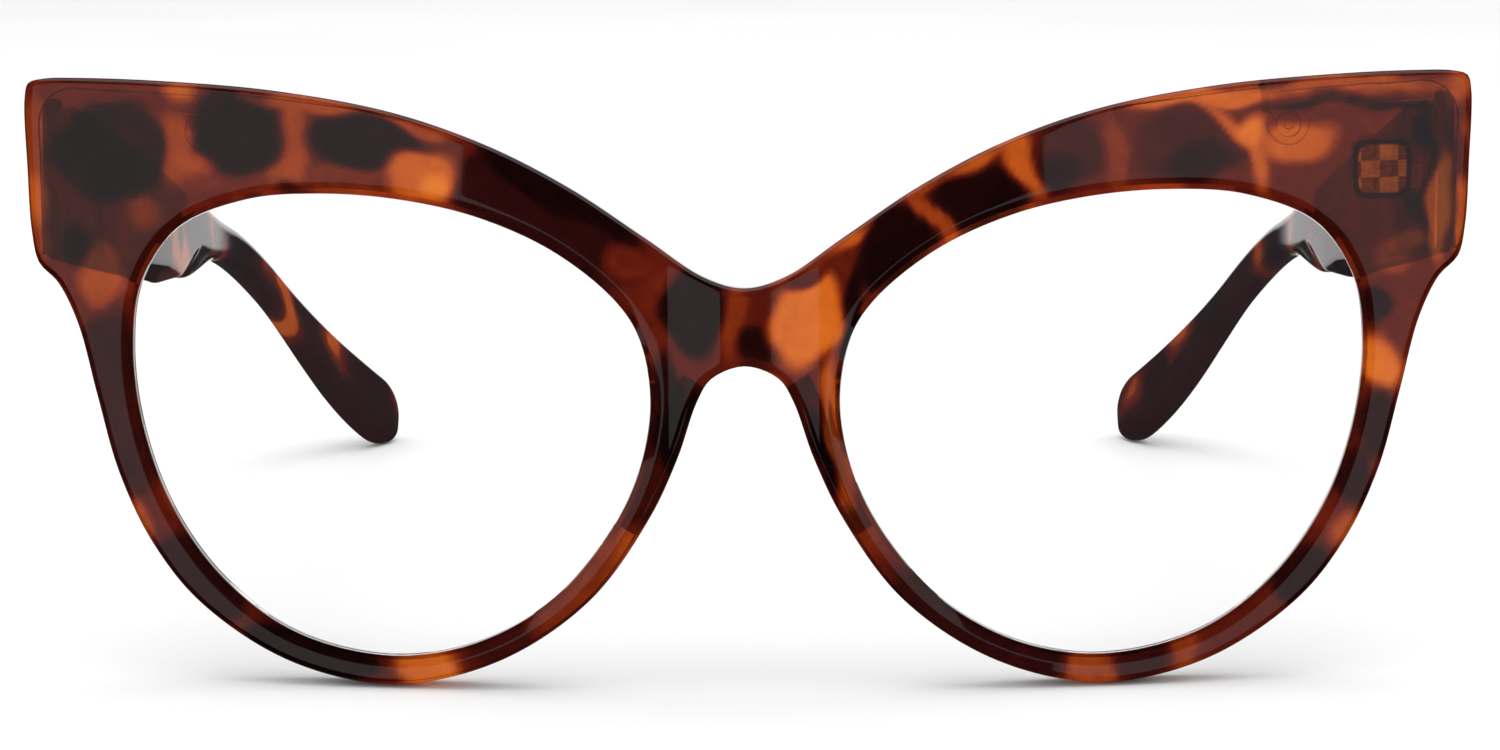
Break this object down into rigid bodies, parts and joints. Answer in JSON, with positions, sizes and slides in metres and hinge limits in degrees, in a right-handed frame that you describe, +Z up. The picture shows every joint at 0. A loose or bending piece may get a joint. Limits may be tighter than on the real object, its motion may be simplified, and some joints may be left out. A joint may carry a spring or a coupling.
{
  "type": "glasses",
  "caption": "Optical glasses with an upswept tortoise plastic front, clear lenses, nose pads and temples that fold on embedded three-knuckle hinges.",
  "frame": {"origin": "on the surface the open glasses rest on, at the centre of the footprint box", "axes": "+X to the wearer's left across the front, +Y back along the temples, +Z up; the front faces -Y"},
  "size_m": [0.15, 0.1488, 0.0618],
  "materials": {
    "tortoise_front": "polished, translucent brown and amber tortoise",
    "tortoise_temple": "polished dark tortoise",
    "lens": "clear, polished",
    "hinge_metal": "satin",
    "screw_steel": "turned",
    "core_steel": "drawn wire"
  },
  "bodies": {
    "front": {"front_frame": "tortoise_front", "left_lens": "lens", "right_lens": "lens", "left_nose_pad": "tortoise_front", "right_nose_pad": "tortoise_front", "left_front_hinge_leaf": "hinge_metal", "right_front_hinge_leaf": "hinge_metal"},
    "left_temple": {"left_temple": "tortoise_temple", "left_temple_hinge_leaf": "hinge_metal", "left_hinge_screw": "screw_steel", "left_core_wire": "core_steel"},
    "right_temple": {"right_temple": "tortoise_temple", "right_temple_hinge_leaf": "hinge_metal", "right_hinge_screw": "screw_steel", "right_core_wire": "core_steel"}
  },
  "joints": [
    {"name": "left_temple_fold", "type": "hinge", "parent": "front", "child": "left_temple", "pos_m": [0.0693, -0.05474, 0.05135], "axis": [0, 0.0931, 0.9957], "range_deg": [0, 82.9]},
    {"name": "right_temple_fold", "type": "hinge", "parent": "front", "child": "right_temple", "pos_m": [-0.0693, -0.05474, 0.05135], "axis": [0, -0.0931, -0.9957], "range_deg": [0, 73]}
  ]
}
